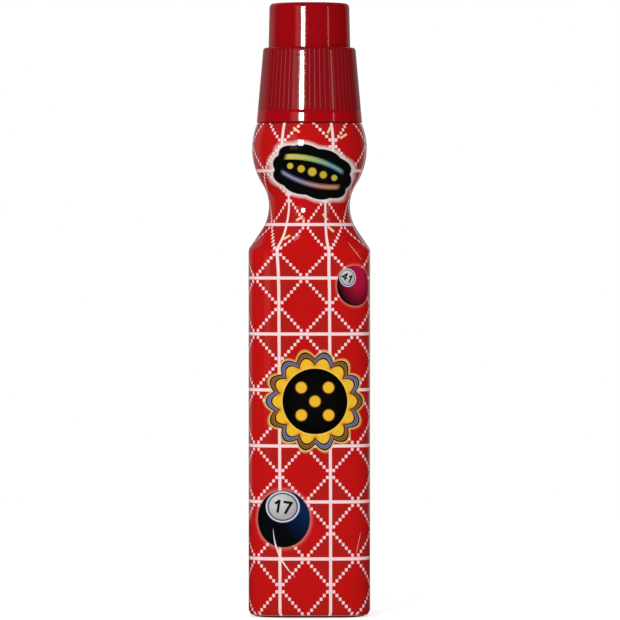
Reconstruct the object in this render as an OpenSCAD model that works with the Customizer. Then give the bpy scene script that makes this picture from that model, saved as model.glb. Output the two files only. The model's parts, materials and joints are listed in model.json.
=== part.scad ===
// Bingo dauber: a squeeze bottle in a shrink sleeve, with a spring-valve applicator and a ribbed cap.
// Millimetres. The origin is the middle of the foot, +Z is up, and the front panel faces -Y.

/* [Bottle] */

// Width of the body
body_w = 29.6; // [27:0.1:32]
// Depth of the body between its flat panels
body_d = 20.4; // [18:0.1:23]
// Power of the body's outline, from an ellipse at 2 towards a rectangle
body_power = 4; // [3:0.1:5]
// Power with which the flat panels fade out up the shoulder
panel_power = 4; // [1:0.5:6]
// Profile radius of the body's upper corner
shoulder_r = 2.1; // [1:0.1:4]
// Slope of the shoulder from the vertical
shoulder_angle = 34.3; // [28:0.1:38]
// Profile radius of the hollow between the shoulder and the waist
hollow_r = 11; // [9:0.1:14]
// Diameter of the waist
waist_d = 19.5; // [18:0.1:21]
// Height of the waist
waist_z = 101.8; // [99:0.1:103]
// Diameter of the bulge
bulge_d = 27.9; // [26.5:0.1:29]
// Height of the bulge's widest ring above the waist
bulge_rise = 14.2; // [12:0.1:15.5]
// Profile radius of the bulge below its widest ring
bulge_r = 16.3; // [10:0.1:17]
// Profile radius of the bulge above its widest ring
bulge_top_r = 16; // [14:0.5:30]
// Height of the top face, where the neck stands, above the bulge's widest ring
top_rise = 6; // [5.6:0.1:8]
// Rounding at the top face's edge
top_edge = 0.5; // [0.3:0.1:0.8]
// Thickness of the wall
wall = 0.8; // [0.6:0.05:1.2]
// Thickness of the floor and of the top face
floor_t = 1.1; // [0.8:0.1:1.5]
// Radius of the foot's edge
foot_r = 1.8; // [1:0.1:2.2]
// Width of the flat ring that the bottle stands on
foot_w = 1.8; // [1:0.1:2.5]
// Rise of the hollow in the foot
push_up = 1; // [0.5:0.1:1.5]

/* [Neck] */

// Bore of the neck
bore_d = 14.6; // [14:0.1:15.4]
// Thickness of the neck's wall under its thread
neck_wall = 1.6; // [1.2:0.1:1.8]
// Height of the neck above the top face
neck_h = 15; // [14.5:0.1:15.5]
// Chamfer at the root of the neck
neck_root = 0.8; // [0.4:0.1:0.9]
// Width of the bead round the neck
bead_w = 0.9; // [0.5:0.1:1.2]
// Height of the bead above the top face
bead_rise = 2.6; // [2:0.1:3.4]
// Thickness of the bead at the neck
bead_h = 1.6; // [1:0.1:2]

/* [Sleeve] */

// Thickness of the film, made stouter than real film
film_t = 0.2; // [0.15:0.01:0.3]
// Space between the film and the bottle
film_gap = 0.1; // [0.06:0.01:0.15]
// Height of the film's lower edge as a share of the foot's radius
film_start_share = 0.25; // [0.2:0.01:0.29]

/* [Ink] */

// Space between the ink and the bottle's wall
ink_gap = 0.1; // [0.05:0.01:0.3]

/* [Cap] */

// Gap between the cap's rim and the bottle's top face
cap_gap = 0.3; // [0.2:0.1:0.6]
// Spread of the skirt on each side, from the step down to the band's lower edge
skirt_flare = 1.6; // [1:0.1:2]
// Height of the plain band
band_h = 3; // [2:0.1:4]
// Thickness of the skirt under the step
skirt_wall = 1.3; // [1:0.1:1.6]
// Space for the thread between the skirt's bore and the neck's bead or the flange
thread_gap = 0.4; // [0.3:0.05:0.6]
// Rounding of the step's outer edge
step_r = 0.7; // [0.3:0.1:0.9]
// Thickness of the step
step_t = 1.4; // [1:0.1:2]
// Thickness of the crown's wall at the step
crown_wall = 1.4; // [1:0.1:1.6]
// Draw-in of the crown on each side, from the step to its top
crown_taper = 0.25; // [0.1:0.05:0.4]
// Height of the crown above the step
crown_h = 11; // [10.8:0.1:13]
// Rounding of the crown's top edge
crown_r = 1; // [0.4:0.1:1.4]
// Thickness of the crown's top
crown_t = 1.3; // [0.8:0.1:1.4]
// Space between the crown and the collar inside it
crown_gap = 0.35; // [0.3:0.05:0.5]
// Space between the crown's top and the tip
tip_room = 0.65; // [0.4:0.05:1]
// Thickness of the skirt at its mouth
mouth_wall = 1.4; // [1:0.1:1.8]
// Height of the mouth's flare
mouth_h = 6.5; // [4:0.1:8]
// Number of ribs round the skirt
rib_count = 60; // [40:1:72]
// Depth of the grooves between the ribs
rib_depth = 0.22; // [0.16:0.02:0.4]

/* [Liner] */

// Thickness of the liner
liner_t = 1; // [0.8:0.1:1.3]
// Space between the liner and the skirt's bore
liner_gap = 0.2; // [0.1:0.05:0.4]
// Space between the liner and the collar inside it
liner_hole_gap = 0.15; // [0.1:0.05:0.3]

/* [Applicator housing] */

// Width of the flange outside the collar
flange_w = 1.2; // [0.9:0.1:1.4]
// Thickness of the flange
flange_t = 1.6; // [1.3:0.1:1.8]
// Space between the plug and the neck's bore
plug_gap = 0.05; // [0.03:0.01:0.1]
// Length of the plug below the flange
plug_h = 12.5; // [12:0.1:13.5]
// Lead-in chamfer at the plug's lower end
plug_lead = 0.8; // [0.4:0.1:1]
// Thickness of the valve chamber's wall
chamber_wall = 1.65; // [1.4:0.05:2]
// Outer diameter of the collar round the tip
collar_d = 16.8; // [16:0.1:17.6]
// Thickness of the collar
collar_t = 0.6; // [0.5:0.05:0.8]
// Height of the collar above the flange
collar_h = 5.6; // [5.2:0.1:6.2]
// Height of the valve seat above the neck's rim
seat_rise = 0.5; // [0.3:0.1:0.8]
// Height of the lip round the valve hole
lip_h = 0.5; // [0.3:0.1:0.6]
// Width of the lip
lip_w = 0.6; // [0.4:0.1:0.9]
// Diameter of the valve hole
hole_d = 6; // [5.6:0.1:6.4]
// Thickness of the valve plate
plate_t = 1.4; // [1.1:0.1:1.5]

/* [Valve] */

// Travel of the tip
tip_travel = 1.8; // [1.4:0.1:1.9]
// Space left under the carrier when the tip is pressed
stop_gap = 0.2; // [0.1:0.05:0.3]
// Diameter of the stem
stem_d = 3; // [2.6:0.1:3.4]
// Diameter of the poppet's head
head_d = 8.4; // [8.2:0.1:9.4]
// Thickness of the head
head_t = 0.9; // [0.7:0.1:1.2]
// Space between the spring and the spigots inside it
spigot_gap = 0.35; // [0.2:0.05:0.5]
// Length of the poppet's spigot
spigot_h = 2.4; // [1.5:0.1:3]
// Chamfer at the ends of the stem and spigots
end_chamfer = 0.4; // [0.2:0.1:0.6]
// Outer diameter of the seal
seal_d = 8; // [7.6:0.1:8.2]
// Thickness of the seal
seal_t = 1; // [0.8:0.1:1.2]
// Space round the stem inside the seal and the carrier's socket
stem_gap = 0.05; // [0.03:0.01:0.1]

/* [Spring] */

// Diameter of the spring's wire
wire_d = 0.5; // [0.4:0.05:0.6]
// Mean diameter of the coil
coil_d = 5.5; // [5.3:0.1:5.7]
// Number of curls
coil_turns = 6; // [4:1:7]
// Space between the spring and its two seats
spring_gap = 0.02; // [0.01:0.01:0.05]

/* [Spring retainer] */

// Thickness of the retainer
retainer_t = 1.4; // [1.2:0.1:1.8]
// Recess of the retainer in the chamber's end
retainer_recess = 0.3; // [0.2:0.1:0.8]
// Space round the retainer in its chamber and groove
retainer_gap = 0.05; // [0.03:0.01:0.1]
// Depth of the groove that the retainer snaps into
groove_depth = 0.2; // [0.1:0.05:0.3]
// Height of the groove at the chamber's wall
groove_h = 1; // [0.8:0.1:1.1]
// Height of the retainer's spigot
boss_h = 2; // [1.2:0.1:2.4]
// Number of holes that let the ink through
port_count = 6; // [4:1:8]
// Land between those holes and the spring on one side, the retainer's edge on the other
port_land = 0.5; // [0.4:0.05:0.8]

/* [Tip] */

// Thickness of the carrier
carrier_t = 1.2; // [1:0.1:1.5]
// Diameter of the carrier's hub
hub_d = 4.8; // [4.4:0.1:5]
// Height of the hub under the carrier
hub_h = 1; // [0.6:0.1:1.3]
// Number of ink holes in the carrier
inlet_count = 8; // [6:1:10]
// Diameter of the ink holes
inlet_d = 1.5; // [1:0.1:1.8]
// Thickness of the clamping ring
ring_t = 0.45; // [0.35:0.05:0.5]
// Height of the clamping ring
ring_h = 1.5; // [1.3:0.1:2]
// Space between the clamping ring and the collar
ring_gap = 0.15; // [0.1:0.05:0.2]
// Thickness of the knitted cover
cover_t = 0.3; // [0.2:0.05:0.35]
// Space between the cover and the pieces under and over it
cover_gap = 0.05; // [0.03:0.01:0.08]
// Swell of the foam over the ring
foam_swell = 0.5; // [0.2:0.05:0.5]
// Height of the foam's upright side above the swell
foam_side = 1.9; // [1:0.1:3]
// Power of the dome's outline
dome_power = 2.4; // [2:0.1:3]

/* [Hidden] */

$fn = 64;
// sides of a lofted section, and steps along the arcs of its profile
loft_sides = 48;
arc_steps = 4;
flank_steps = 4;
dome_steps = 9;
wire_sides = 6;
curl_steps = 8;
groove_sides = 4;
// how far a cut runs past the face it opens
overrun = 0.6;

half_w = body_w / 2;
half_d = body_d / 2;

// waist and bulge are two arcs that meet in a common tangent
bulge_z = waist_z + bulge_rise;
top_z = bulge_z + top_rise;
wave_swell = (bulge_d - waist_d) / 2;
wave_sum = (bulge_rise * bulge_rise + wave_swell * wave_swell) / (2 * wave_swell);
waist_r = wave_sum - bulge_r;
wave_angle = asin(bulge_rise / wave_sum);

// the shoulder's straight flank runs from the hollow's arc to the body's corner
flank_r = waist_d / 2 + hollow_r * (1 - cos(shoulder_angle));
flank_z = waist_z - hollow_r * sin(shoulder_angle);
sharp_z = flank_z - (half_w - flank_r) / tan(shoulder_angle);
corner_z = sharp_z - shoulder_r * tan(shoulder_angle / 2);
corner_end = [half_w - shoulder_r * (1 - cos(shoulder_angle)), corner_z + shoulder_r * sin(shoulder_angle)];

finish_z = top_z - top_edge;
finish_angle = asin((finish_z - bulge_z) / bulge_top_r);

// the cap's bores clear what they close over, and its outside follows its walls
neck_d = bore_d + 2 * neck_wall;
bead_d = neck_d + 2 * bead_w;
flange_d = collar_d + 2 * flange_w;
skirt_bore_d = max(bead_d, flange_d) + 2 * thread_gap;
skirt_top_d = skirt_bore_d + 2 * skirt_wall;
band_d = skirt_top_d + 2 * skirt_flare;
mouth_d = band_d - 2 * mouth_wall;
crown_bore_d = collar_d + 2 * crown_gap;
crown_d = crown_bore_d + 2 * crown_wall;
crown_top_d = crown_d - 2 * crown_taper;
liner_d = skirt_bore_d - 2 * liner_gap;
liner_hole_d = collar_d + 2 * liner_hole_gap;

rim_z = top_z + neck_h;
flange_z = rim_z + flange_t;
ledge_z = flange_z + liner_t;
step_z = ledge_z + step_t;
cap_z = top_z + cap_gap;
crown_z = step_z + crown_h;
taper_angle = atan((band_d - skirt_top_d) / 2 / (step_z - step_r - cap_z));

seat_z = rim_z + seat_rise;
plate_z = seat_z + lip_h;
plate_top = plate_z + plate_t;
plug_z = rim_z - plug_h;
plug_r = bore_d / 2 - plug_gap;
chamber_d = 2 * (plug_r - chamber_wall);
collar_in = collar_d / 2 - collar_t;
collar_z = flange_z + collar_h;

seal_z = seat_z - seal_t;
head_z = seal_z - head_t;
carrier_z = plate_top + tip_travel + stop_gap;
foam_z = carrier_z + carrier_t;
stem_z = foam_z - end_chamfer;
ring_in = collar_in - ring_gap - ring_t;
hem_r = ring_in - cover_gap;
carrier_r = hem_r - cover_t - cover_gap;
inlet_ring_d = carrier_r + hub_d / 2;
foam_d = 2 * (carrier_r + foam_swell);
swell_z = carrier_z + ring_h + foam_swell;
dome_z = swell_z + foam_side;
dome_h = crown_z - crown_t - tip_room - cover_t - cover_gap - dome_z;

retainer_z = plug_z + retainer_recess;
retainer_top = retainer_z + retainer_t;
retainer_r = chamber_d / 2 - retainer_gap;
groove_z = retainer_z + (retainer_t - groove_h) / 2;
spring_r = (coil_d + wire_d) / 2;
spigot_d = coil_d - wire_d - 2 * spigot_gap;
port_d = retainer_r - spring_r - 2 * port_land;
port_ring_d = retainer_r + spring_r;
spring_z = retainer_top + spring_gap + wire_d / 2;
spring_h = head_z - spring_gap - wire_d / 2 - spring_z;

// points of an arc in a profile, from one angle to another
function arc(r, z, radius, from, to, steps) =
    [for (i = [0:steps]) let (t = from + (to - from) * i / steps) [r + radius * cos(t), z + radius * sin(t)]];

function backwards(list) = [for (i = [len(list) - 1:-1:0]) list[i]];

// points on the shoulder's flank, where the flat panels fade out
flank = [for (i = [1:flank_steps - 1]) corner_end + ([flank_r, flank_z] - corner_end) * i / flank_steps];

// half width of the bottle at its heights, from the foot's edge to the top face
profile = concat(
    arc(half_w - foot_r, foot_r, foot_r, -90, 0, arc_steps),
    arc(half_w - shoulder_r, corner_z, shoulder_r, 0, shoulder_angle, arc_steps),
    flank,
    arc(waist_d / 2 + hollow_r, waist_z, hollow_r, 180 + shoulder_angle, 180, arc_steps),
    [for (p = arc(waist_d / 2 + waist_r, waist_z, waist_r, 180, 180 - wave_angle, arc_steps))
        if (p[1] > waist_z) p],
    [for (p = arc(bulge_d / 2 - bulge_r, bulge_z, bulge_r, -wave_angle, 0, arc_steps))
        if (p[1] > waist_z + waist_r * sin(wave_angle) + top_edge) p],
    [for (p = arc(bulge_d / 2 - bulge_top_r, bulge_z, bulge_top_r, 0, finish_angle, arc_steps))
        if (p[1] > bulge_z) p]);

// a section is its half width, half depth, power and height
function depth_at(p) = p[1] < foot_r ? p[0] - half_w + half_d
    : p[1] < waist_z ? min(p[0], half_d)
    : p[0] - max(waist_d / 2 - half_d, 0) * max(bulge_z - p[1], 0) / bulge_rise;
function power_at(w, d) = 2 + (body_power - 2) * pow((w - d) / (half_w - half_d), panel_power);
function section(p) = [p[0], depth_at(p), power_at(p[0], depth_at(p)), p[1]];
function inset(by, z) = [half_w - by, half_d - by, body_power, z];
function disc(r, z) = [r, r, 2, z];
function grown(s, by) = [s[0] + by, s[1] + by, s[2], s[3]];

sections = [for (p = profile) section(p)];

// the bottle's inner sections that lie between two heights, shrunk by the wall
function inner_sections(by, low, high) =
    [for (s = sections) if (s[3] > low && s[3] < high) grown(s, -by)];

function ring_points(s) = [for (i = [0:loft_sides - 1])
    let (t = 360 * i / loft_sides, e = 2 / s[2])
    [s[0] * sign(cos(t)) * pow(abs(cos(t)), e), s[1] * sign(sin(t)) * pow(abs(sin(t)), e), s[3]]];

// skin over a stack of sections, with flat ends or joined end to end as a tube
module loft(stack, tube = false) {
    n = len(stack);
    m = loft_sides;
    last = tube ? n - 1 : n - 2;
    flanks = [for (j = [0:last], i = [0:m - 1], half = [0, 1])
        let (a = j * m, b = ((j + 1) % n) * m, k = (i + 1) % m)
        half == 0 ? [a + i, b + i, b + k] : [a + i, b + k, a + k]];
    ends = tube ? [] : [[for (i = [0:m - 1]) i], [for (i = [m - 1:-1:0]) (n - 1) * m + i]];
    polyhedron(points = [for (s = stack) each ring_points(s)], faces = concat(flanks, ends), convexity = 6);
}

module bottle() {
    neck_r = neck_d / 2;
    hollow_z = top_z - floor_t;
    foot_in = foot_r + foot_w;
    // the skin runs up the outside, over the top face, and down the inside to the floor
    outside = concat(
        [inset(foot_in + push_up, push_up), inset(foot_in, 0)],
        sections,
        [disc(sections[len(sections) - 1][0] - top_edge, top_z)]);
    inside = concat(
        [disc((neck_d + bore_d) / 4, top_z), disc((neck_d + bore_d) / 4, hollow_z)],
        backwards(inner_sections(wall, floor_t + foot_r, hollow_z - top_edge)),
        [inset(wall, floor_t + foot_r), inset(wall + foot_r / 4, floor_t + foot_r / 4)],
        [inset(foot_in, floor_t), inset(foot_in + push_up, floor_t + push_up)]);
    color("firebrick") {
        union() {
            loft(concat(outside, inside));
            rotate_extrude()
                polygon([
                    [bore_d / 2, hollow_z - overrun],
                    [neck_r, hollow_z - overrun],
                    [neck_r, hollow_z + floor_t / 2],
                    [neck_r + neck_root, hollow_z + floor_t / 2],
                    [neck_r + neck_root, top_z],
                    [neck_r, top_z + neck_root],
                    [neck_r, top_z + bead_rise - bead_h / 2],
                    [bead_d / 2, top_z + bead_rise],
                    [neck_r, top_z + bead_rise + bead_h / 2],
                    [neck_r, rim_z],
                    [bore_d / 2, rim_z]]);
        }
    }
}

module shrink_sleeve() {
    film = [for (s = sections) if (s[3] > foot_r * film_start_share) s];
    color("red")
        loft(concat(
            [for (s = film) grown(s, film_gap + film_t)],
            backwards([for (s = film) grown(s, film_gap)])), tube = true);
}

module ink_fill() {
    side = wall + ink_gap;
    low = floor_t + ink_gap;
    foot_in = foot_r + foot_w;
    color("darkred")
        loft(concat(
            [inset(foot_in + push_up, low + push_up), inset(foot_in, low)],
            [inset(side + foot_r / 4, low + foot_r / 4), inset(side, low + foot_r)],
            inner_sections(side, low + foot_r, bulge_z + top_edge)));
}

module applicator_housing() {
    chamber_r = chamber_d / 2;
    groove_r = chamber_r + groove_depth;
    hole_r = hole_d / 2;
    lead = collar_t / 2;
    color("white")
        rotate_extrude()
            polygon([
                [chamber_r, plug_z],
                [plug_r - plug_lead, plug_z],
                [plug_r, plug_z + plug_lead],
                [plug_r, rim_z],
                [flange_d / 2, rim_z],
                [flange_d / 2, flange_z],
                [collar_d / 2, flange_z],
                [collar_d / 2, collar_z - lead],
                [collar_d / 2 - lead, collar_z],
                [collar_in, collar_z],
                [collar_in, plate_top],
                [hole_r, plate_top],
                [hole_r, seat_z],
                [hole_r + lip_w, seat_z],
                [hole_r + lip_w, plate_z],
                [chamber_r, plate_z],
                [chamber_r, groove_z + groove_h],
                [groove_r, groove_z + groove_h - groove_depth],
                [groove_r, groove_z + groove_depth],
                [chamber_r, groove_z]]);
}

module spring_retainer() {
    boss_r = spigot_d / 2;
    boss_z = retainer_top + boss_h;
    color("ivory")
        difference() {
            rotate_extrude()
                polygon([
                    [0, retainer_z],
                    [retainer_r, retainer_z],
                    [retainer_r, groove_z + retainer_gap],
                    [retainer_r + groove_depth, groove_z + groove_depth + retainer_gap],
                    [retainer_r + groove_depth, groove_z + groove_h - groove_depth - retainer_gap],
                    [retainer_r, groove_z + groove_h - retainer_gap],
                    [retainer_r, retainer_top],
                    [boss_r, retainer_top],
                    [boss_r, boss_z - end_chamfer],
                    [boss_r - end_chamfer, boss_z],
                    [0, boss_z]]);
            for (i = [0:port_count - 1])
                rotate(360 * i / port_count)
                    translate([port_ring_d / 2, 0, retainer_z - overrun])
                        cylinder(d = port_d, h = retainer_t + 2 * overrun);
        }
}

// one unbroken wire wound on a steady pitch
module valve_spring() {
    count = coil_turns * curl_steps;
    lean = atan(spring_h / coil_turns / (PI * coil_d));
    wire = [for (j = [0:count], i = [0:wire_sides - 1])
        let (
            turn = 360 * j / curl_steps,
            t = 360 * i / wire_sides,
            out = coil_d / 2 + wire_d / 2 * cos(t),
            up = wire_d / 2 * sin(t))
        [
            out * cos(turn) + up * sin(lean) * sin(turn),
            out * sin(turn) - up * sin(lean) * cos(turn),
            spring_z + spring_h * j / count + up * cos(lean)
        ]];
    flanks = [for (j = [0:count - 1], i = [0:wire_sides - 1], half = [0, 1])
        let (a = j * wire_sides, b = a + wire_sides, k = (i + 1) % wire_sides)
        half == 0 ? [a + i, b + i, b + k] : [a + i, b + k, a + k]];
    ends = [[for (i = [0:wire_sides - 1]) i], [for (i = [wire_sides - 1:-1:0]) count * wire_sides + i]];
    echo(least_gap_between_curls = min([for (p = [0:wire_sides - 1], q = [0:wire_sides - 1])
        norm(wire[curl_steps * wire_sides + p] - wire[q])]));
    color("silver")
        polyhedron(points = wire, faces = concat(flanks, ends), convexity = 12);
}

module valve_poppet() {
    spigot_r = spigot_d / 2;
    stem_r = stem_d / 2;
    color("gainsboro")
        rotate_extrude()
            polygon([
                [0, head_z - spigot_h],
                [spigot_r - end_chamfer, head_z - spigot_h],
                [spigot_r, head_z - spigot_h + end_chamfer],
                [spigot_r, head_z],
                [head_d / 2, head_z],
                [head_d / 2, seal_z],
                [stem_r, seal_z],
                [stem_r, stem_z - end_chamfer],
                [stem_r - end_chamfer, stem_z],
                [0, stem_z]]);
}

module valve_seal() {
    color("dimgray")
        translate([0, 0, seal_z])
            difference() {
                cylinder(d = seal_d, h = seal_t);
                translate([0, 0, -overrun])
                    cylinder(d = stem_d + 2 * stem_gap, h = seal_t + 2 * overrun);
            }
}

module tip_carrier() {
    color("snow")
        difference() {
            union() {
                translate([0, 0, carrier_z])
                    cylinder(r = carrier_r, h = carrier_t);
                translate([0, 0, carrier_z - hub_h])
                    cylinder(d = hub_d, h = hub_h + carrier_t / 2);
            }
            translate([0, 0, carrier_z - hub_h - overrun])
                cylinder(d = stem_d + 2 * stem_gap, h = hub_h + carrier_t + 2 * overrun);
            for (i = [0:inlet_count - 1])
                rotate(360 * i / inlet_count)
                    translate([inlet_ring_d / 2, 0, carrier_z - overrun])
                        cylinder(d = inlet_d, h = carrier_t + 2 * overrun);
        }
}

// side and dome of the tip, moved out by a thickness
function tip_outline(by, low) =
    concat(
        [[carrier_r + by, low], [carrier_r + by, swell_z - foam_swell], [foam_d / 2 + by, swell_z]],
        [for (i = [0:dome_steps]) let (t = 90 * i / dome_steps) [
            (foam_d / 2 + by) * pow(cos(t), 2 / dome_power),
            dome_z + (dome_h + by) * pow(sin(t), 2 / dome_power)]]);

module sponge_tip() {
    color("pink")
        rotate_extrude()
            polygon(concat([[0, foam_z]], tip_outline(0, foam_z)));
}

module tip_cover() {
    color("mistyrose")
        rotate_extrude()
            polygon(concat(
                tip_outline(cover_gap + cover_t, carrier_z),
                backwards(tip_outline(cover_gap, carrier_z))));
}

module cover_ring() {
    color("white")
        translate([0, 0, carrier_z])
            difference() {
                cylinder(r = ring_in + ring_t, h = ring_h);
                translate([0, 0, -overrun])
                    cylinder(r = ring_in, h = ring_h + 2 * overrun);
            }
}

module cap_liner() {
    color("whitesmoke")
        translate([0, 0, flange_z])
            difference() {
                cylinder(d = liner_d, h = liner_t);
                translate([0, 0, -overrun])
                    cylinder(d = liner_hole_d, h = liner_t + 2 * overrun);
            }
}

module cap() {
    color("crimson")
        difference() {
            rotate_extrude()
                polygon(concat(
                    [[mouth_d / 2, cap_z], [band_d / 2, cap_z]],
                    arc(skirt_top_d / 2 - step_r, step_z - step_r, step_r, 0, 90, arc_steps),
                    [[crown_d / 2, step_z]],
                    arc(crown_top_d / 2 - crown_r, crown_z - crown_r, crown_r, 0, 90, arc_steps),
                    [[0, crown_z], [0, crown_z - crown_t]],
                    [[crown_bore_d / 2, crown_z - crown_t], [crown_bore_d / 2, ledge_z]],
                    [[skirt_bore_d / 2, ledge_z], [skirt_bore_d / 2, cap_z + mouth_h]]));
            // the grooves lie along the tapered skirt, from the plain band out through the step
            for (i = [0:rib_count - 1])
                rotate(360 * (i + 1 / 2) / rib_count)
                    translate([band_d / 2, 0, cap_z])
                        rotate([0, -taper_angle, 0])
                            translate([0, 0, band_h])
                                cylinder(r = rib_depth, h = step_z - cap_z, $fn = groove_sides);
        }
}

bottle();
shrink_sleeve();
ink_fill();
applicator_housing();
spring_retainer();
valve_spring();
valve_poppet();
valve_seal();
tip_carrier();
sponge_tip();
tip_cover();
cover_ring();
cap_liner();
cap();
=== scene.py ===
"""Dress the bingo dauber: printed sleeve, ribbed cap, threads, valve spring, foam tip and a small studio."""

import json
import math

import bpy
from bpy.props import FloatProperty, FloatVectorProperty, IntProperty, PointerProperty
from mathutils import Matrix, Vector, noise


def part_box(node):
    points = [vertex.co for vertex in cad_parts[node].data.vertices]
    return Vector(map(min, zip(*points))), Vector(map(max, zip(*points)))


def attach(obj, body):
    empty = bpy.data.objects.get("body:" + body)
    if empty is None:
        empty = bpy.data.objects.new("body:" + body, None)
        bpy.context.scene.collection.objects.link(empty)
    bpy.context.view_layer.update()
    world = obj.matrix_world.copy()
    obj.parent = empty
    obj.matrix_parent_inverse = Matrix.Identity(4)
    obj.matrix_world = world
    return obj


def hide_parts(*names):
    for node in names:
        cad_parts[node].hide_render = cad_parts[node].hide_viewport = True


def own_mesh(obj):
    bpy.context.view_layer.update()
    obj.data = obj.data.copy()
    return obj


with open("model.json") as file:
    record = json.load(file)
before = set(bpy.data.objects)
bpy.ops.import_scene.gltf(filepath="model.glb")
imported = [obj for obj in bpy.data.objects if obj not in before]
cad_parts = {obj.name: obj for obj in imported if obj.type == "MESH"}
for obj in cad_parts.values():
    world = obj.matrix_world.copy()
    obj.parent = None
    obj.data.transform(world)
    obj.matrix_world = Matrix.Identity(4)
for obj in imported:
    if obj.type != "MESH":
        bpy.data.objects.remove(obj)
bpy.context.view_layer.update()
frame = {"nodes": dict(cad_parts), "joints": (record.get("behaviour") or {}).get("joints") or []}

bl_info = {
    "name": "Bingo Dauber",
    "version": (1, 0, 0),
    "blender": (4, 5, 0),
    "location": "View3D > Sidebar > Dauber",
    "description": "Models a sleeved ink dauber with its cap, valve and foam tip",
    "category": "Object",
}

MM = 0.001

# heights in millimetres where the threads start, where the spring stands and where the tip's dome starts
NECK_THREAD, CAP_THREAD = 130.2, 130.6
SPRING_FOOT = 126.2
DOME_FOOT = 145.3
# how far the ring pinches the tip in, with heights, in millimetres
PINCH = ((0.5, 142.2), (0.5, 142.9), (0.2, 143.25), (0.0, 143.6), (0.0, 144.4))
# length of the print round the bottle in millimetres, and half the width of the plain strip at its seam
PRINT_LENGTH = 86.6
SEAM = 1.9
# panes of the print by height, and how shrinking turned and drew the print
PANES = ((0.35, 0.0), (14.83, 1.0), (28.89, 2.0), (84.13, 6.0), (97.31, 7.0), (110.58, 8.0), (124.0, 9.0))
TURNS = ((0.0, 0.0112), (31.0, 0.0114), (81.0, 0.0144), (92.0, 0.0180), (100.0, 0.0103))
TURNS += ((118.0, 0.0055), (130.0, 0.005))
DRAWS = ((0.0, 1.03), (86.0, 1.03), (97.0, 0.97), (108.0, 0.97), (118.0, 0.981), (130.0, 0.981))
# columns of faces in one rib of the cap, with their places across the rib and the groove's depth there
RIB_COLUMNS = 12
RIB_SPREAD = ((0.0, 0.0), (1.0, 0.025), (2.0, 0.05), (3.0, 0.07), (4.0, 0.10), (5.0, 0.30), (6.0, 0.50))
RIB_DEPTHS = ((0.0, 1.0), (1.0, 0.6), (2.0, 0.1), (3.0, 0.0), (6.0, 0.0))
STAIN = (0.55, 0.06, 0.06)
NATURAL = (0.80, 0.78, 0.73)
ACETAL = (0.74, 0.74, 0.73)


def whole(label, text, value, least):
    """A whole-number setting."""
    return IntProperty(name=label, description=text, default=value, min=least)


def amount(label, text, value, least=0, most=1000):
    """A plain number setting."""
    return FloatProperty(name=label, description=text, default=value, min=least, max=most)


def length(label, text, size):
    """A length setting, given in millimetres."""
    return FloatProperty(name=label, description=text, default=size * MM, unit="LENGTH", precision=5)


def tint(label, text, value):
    """A colour setting."""
    return FloatVectorProperty(
        name=label, description=text, default=value, size=3, subtype="COLOR", min=0, max=1
    )


class BottleSettings(bpy.types.PropertyGroup):
    """Form of the bottle that the sleeve is shrunk on."""

    width: length("Width", "Width of the body", 29.6)
    depth: length("Depth", "Depth of the body between its flat panels", 20.4)
    squareness: amount("Squareness", "Power of the body's outline", 4, 2, 8)
    panel_power: amount("Panel power", "Fading of the panels up the shoulder", 4, 1)
    foot_radius: length("Foot radius", "Radius of the foot's edge", 1.8)
    shoulder_radius: length("Shoulder radius", "Radius of the body's upper corner", 2.1)
    shoulder_angle: FloatProperty(
        name="Shoulder slope",
        description="Slope of the shoulder from the vertical",
        default=math.radians(34.3),
        subtype="ANGLE",
    )
    hollow_radius: length("Hollow radius", "Radius between the shoulder and the waist", 11)
    waist: length("Waist", "Diameter of the waist", 19.5)
    waist_height: length("Waist height", "Height of the waist", 101.8)
    bulge: length("Bulge", "Diameter of the bulge", 27.9)
    bulge_rise: length("Bulge rise", "Height of the bulge above the waist", 14.2)
    bulge_radius: length("Bulge radius", "Profile radius of the bulge below its widest ring", 16.3)
    bulge_top_radius: length("Bulge top radius", "Profile radius of the bulge above its widest ring", 16)
    film_rise: length("Film rise", "Height of the film's upper edge above the bulge", 6.15)
    neck: length("Neck", "Diameter of the neck under its thread", 17.8)
    colour: tint("Colour", "Colour of the bottle's plastic", (0.40, 0.010, 0.012))


class SleeveSettings(bpy.types.PropertyGroup):
    """Shrink film and its print."""

    gap: length("Gap", "Space between the film and the bottle", 0.1)
    film: length("Film", "Thickness of the film", 0.2)
    around: whole("Around", "Faces of the film round the bottle", 216, 48)
    pitch: length("Pitch", "Height of the film's faces where it runs straight", 1)
    waviness: length("Waviness", "Depth of the ripples that shrinking leaves", 0.015)
    columns: whole("Columns", "Panes of the print round the bottle", 7, 1)
    rows: whole("Rows", "Panes of the print up the bottle", 9, 1)
    steps: whole("Steps", "Steps of the dotted lines in one pane", 16, 4)
    pane: tint("Pane", "Red of the diamond in each pane", (0.58, 0.007, 0.006))
    corner: tint("Corner", "Red of each pane's corners", (0.49, 0.014, 0.010))
    line: tint("Line", "White of the lines and dots", (1.0, 0.73, 0.74))
    gold: tint("Gold", "Gold of the badge", (0.88, 0.52, 0.03))
    ball: tint("Ball", "Blue of the large ball", (0.003, 0.019, 0.085))
    small_ball: tint("Small ball", "Crimson of the small ball", (0.42, 0.008, 0.045))


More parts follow.
